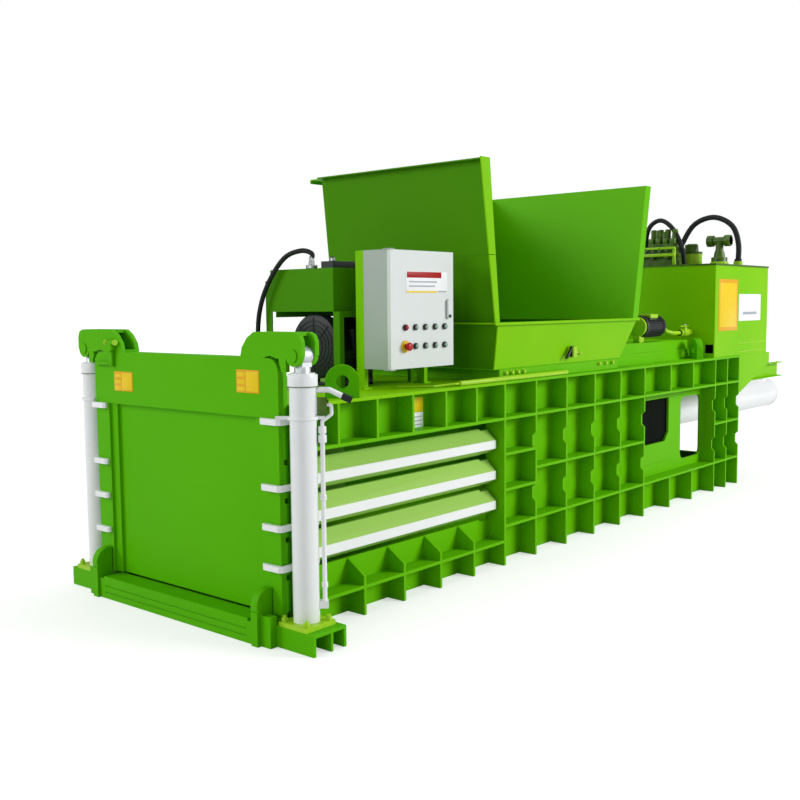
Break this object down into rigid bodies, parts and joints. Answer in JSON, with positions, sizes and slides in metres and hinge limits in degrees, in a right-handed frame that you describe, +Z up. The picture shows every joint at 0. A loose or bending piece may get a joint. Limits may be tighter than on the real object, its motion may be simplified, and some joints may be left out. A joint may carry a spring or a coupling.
{
  "type": "recycling baler",
  "caption": "Long horizontal baler: ribbed steel press body with side rails, lift gate on two upright cylinders, feed hopper, control cabinet and a rear main cylinder.",
  "frame": {"origin": "centre of the bounding box at floor level", "axes": "+X runs from the gate to the main cylinder, +Z up, the operator side faces -Y"},
  "size_m": [7.497, 1.8874, 2.236],
  "materials": {
    "green_paint": "gloss",
    "light_green_paint": "gloss",
    "white_paint": "gloss",
    "grey_powder_coat": "satin",
    "grey_plastic": "satin",
    "black_plastic": "satin",
    "red_plastic": "gloss",
    "black_enamel": "satin",
    "dark_green_enamel": "satin",
    "rubber_hose": "satin",
    "chromed_rod": "polished",
    "bare_steel": "brushed",
    "bronze": "satin"
  },
  "bodies": {
    "frame": {"base_beam": "green_paint", "sill_plates": "green_paint", "side_guards": "green_paint", "front_posts": "green_paint", "chamber_roof": "green_paint", "floor_plate": "green_paint", "floor_ribs": "green_paint", "top_panels": "green_paint", "foot_panels": "green_paint", "press_sides": "green_paint", "rear_sides": "green_paint", "rear_deck": "green_paint", "rear_frame": "green_paint", "lifting_lugs": "green_paint", "hopper_front": "green_paint", "hopper_rear": "green_paint", "hopper_far": "green_paint", "hopper_lip": "green_paint", "hopper_base": "green_paint", "cabinet_stand": "green_paint", "front_tank": "green_paint", "rear_tank": "green_paint", "rear_support": "green_paint", "wiring": "green_paint", "gate_claws": "white_paint", "rail_bars": "white_paint", "lift_barrels": "white_paint", "lift_pipes": "white_paint", "main_cylinder": "white_paint", "lift_bases": "light_green_paint", "ball_valve": "light_green_paint", "cabinet_box": "grey_powder_coat", "front_lid": "black_enamel", "front_motor": "black_enamel", "rear_motor": "black_enamel", "rear_valves": "dark_green_enamel", "front_hose": "rubber_hose", "rear_hoses": "rubber_hose"},
    "gate": {"gate_panel": "green_paint", "gate_header": "green_paint", "gate_arms": "green_paint", "lift_rods": "chromed_rod", "lift_pins": "bare_steel"},
    "ram": {"ram_box": "green_paint", "ram_rod": "chromed_rod", "ram_shoes": "bronze"},
    "door": {"cabinet_door": "grey_powder_coat", "button_bezels": "black_plastic"},
    "lock": {"door_lock": "grey_plastic"},
    "stop_button": {"e_stop": "red_plastic"},
    "lever": {"valve_lever": "light_green_paint"},
    "push_1": {"button_1": "red_plastic"},
    "push_2": {"button_2": "black_plastic"},
    "push_3": {"button_3": "black_plastic"},
    "push_4": {"button_4": "black_plastic"},
    "push_5": {"button_5": "black_plastic"},
    "push_6": {"button_6": "black_plastic"},
    "push_7": {"button_7": "black_plastic"},
    "push_8": {"button_8": "black_plastic"},
    "push_9": {"button_9": "black_plastic"}
  },
  "joints": [
    {"name": "gate_lift", "type": "slide", "parent": "frame", "child": "gate", "axis": [0, 0, 1], "range_m": [0, 0.88]},
    {"name": "ram_stroke", "type": "slide", "parent": "frame", "child": "ram", "axis": [-1, 0, 0], "range_m": [0, 2.2]},
    {"name": "door_hinge", "type": "hinge", "parent": "frame", "child": "door", "pos_m": [-2.7675, -0.549, 1.439], "axis": [0, 0, -1], "range_deg": [0, 120]},
    {"name": "lock_turn", "type": "hinge", "parent": "door", "child": "lock", "pos_m": [-2.3125, -0.553, 1.45], "axis": [0, -1, 0], "range_deg": [0, 90]},
    {"name": "stop_press", "type": "slide", "parent": "door", "child": "stop_button", "axis": [0, 1, 0], "range_m": [0, 0.006], "stiffness_N_per_m": 1200},
    {"name": "press_1", "type": "slide", "parent": "door", "child": "push_1", "axis": [0, 1, 0], "range_m": [0, 0.004], "stiffness_N_per_m": 900},
    {"name": "press_2", "type": "slide", "parent": "door", "child": "push_2", "axis": [0, 1, 0], "range_m": [0, 0.004], "stiffness_N_per_m": 900},
    {"name": "press_3", "type": "slide", "parent": "door", "child": "push_3", "axis": [0, 1, 0], "range_m": [0, 0.004], "stiffness_N_per_m": 900},
    {"name": "press_4", "type": "slide", "parent": "door", "child": "push_4", "axis": [0, 1, 0], "range_m": [0, 0.004], "stiffness_N_per_m": 900},
    {"name": "press_5", "type": "slide", "parent": "door", "child": "push_5", "axis": [0, 1, 0], "range_m": [0, 0.004], "stiffness_N_per_m": 900},
    {"name": "press_6", "type": "slide", "parent": "door", "child": "push_6", "axis": [0, 1, 0], "range_m": [0, 0.004], "stiffness_N_per_m": 900},
    {"name": "press_7", "type": "slide", "parent": "door", "child": "push_7", "axis": [0, 1, 0], "range_m": [0, 0.004], "stiffness_N_per_m": 900},
    {"name": "press_8", "type": "slide", "parent": "door", "child": "push_8", "axis": [0, 1, 0], "range_m": [0, 0.004], "stiffness_N_per_m": 900},
    {"name": "press_9", "type": "slide", "parent": "door", "child": "push_9", "axis": [0, 1, 0], "range_m": [0, 0.004], "stiffness_N_per_m": 900},
    {"name": "lever_turn", "type": "hinge", "parent": "frame", "child": "lever", "pos_m": [0.7485, -0.48, 1.281], "axis": [0, 0, -1], "range_deg": [0, 90]}
  ]
}
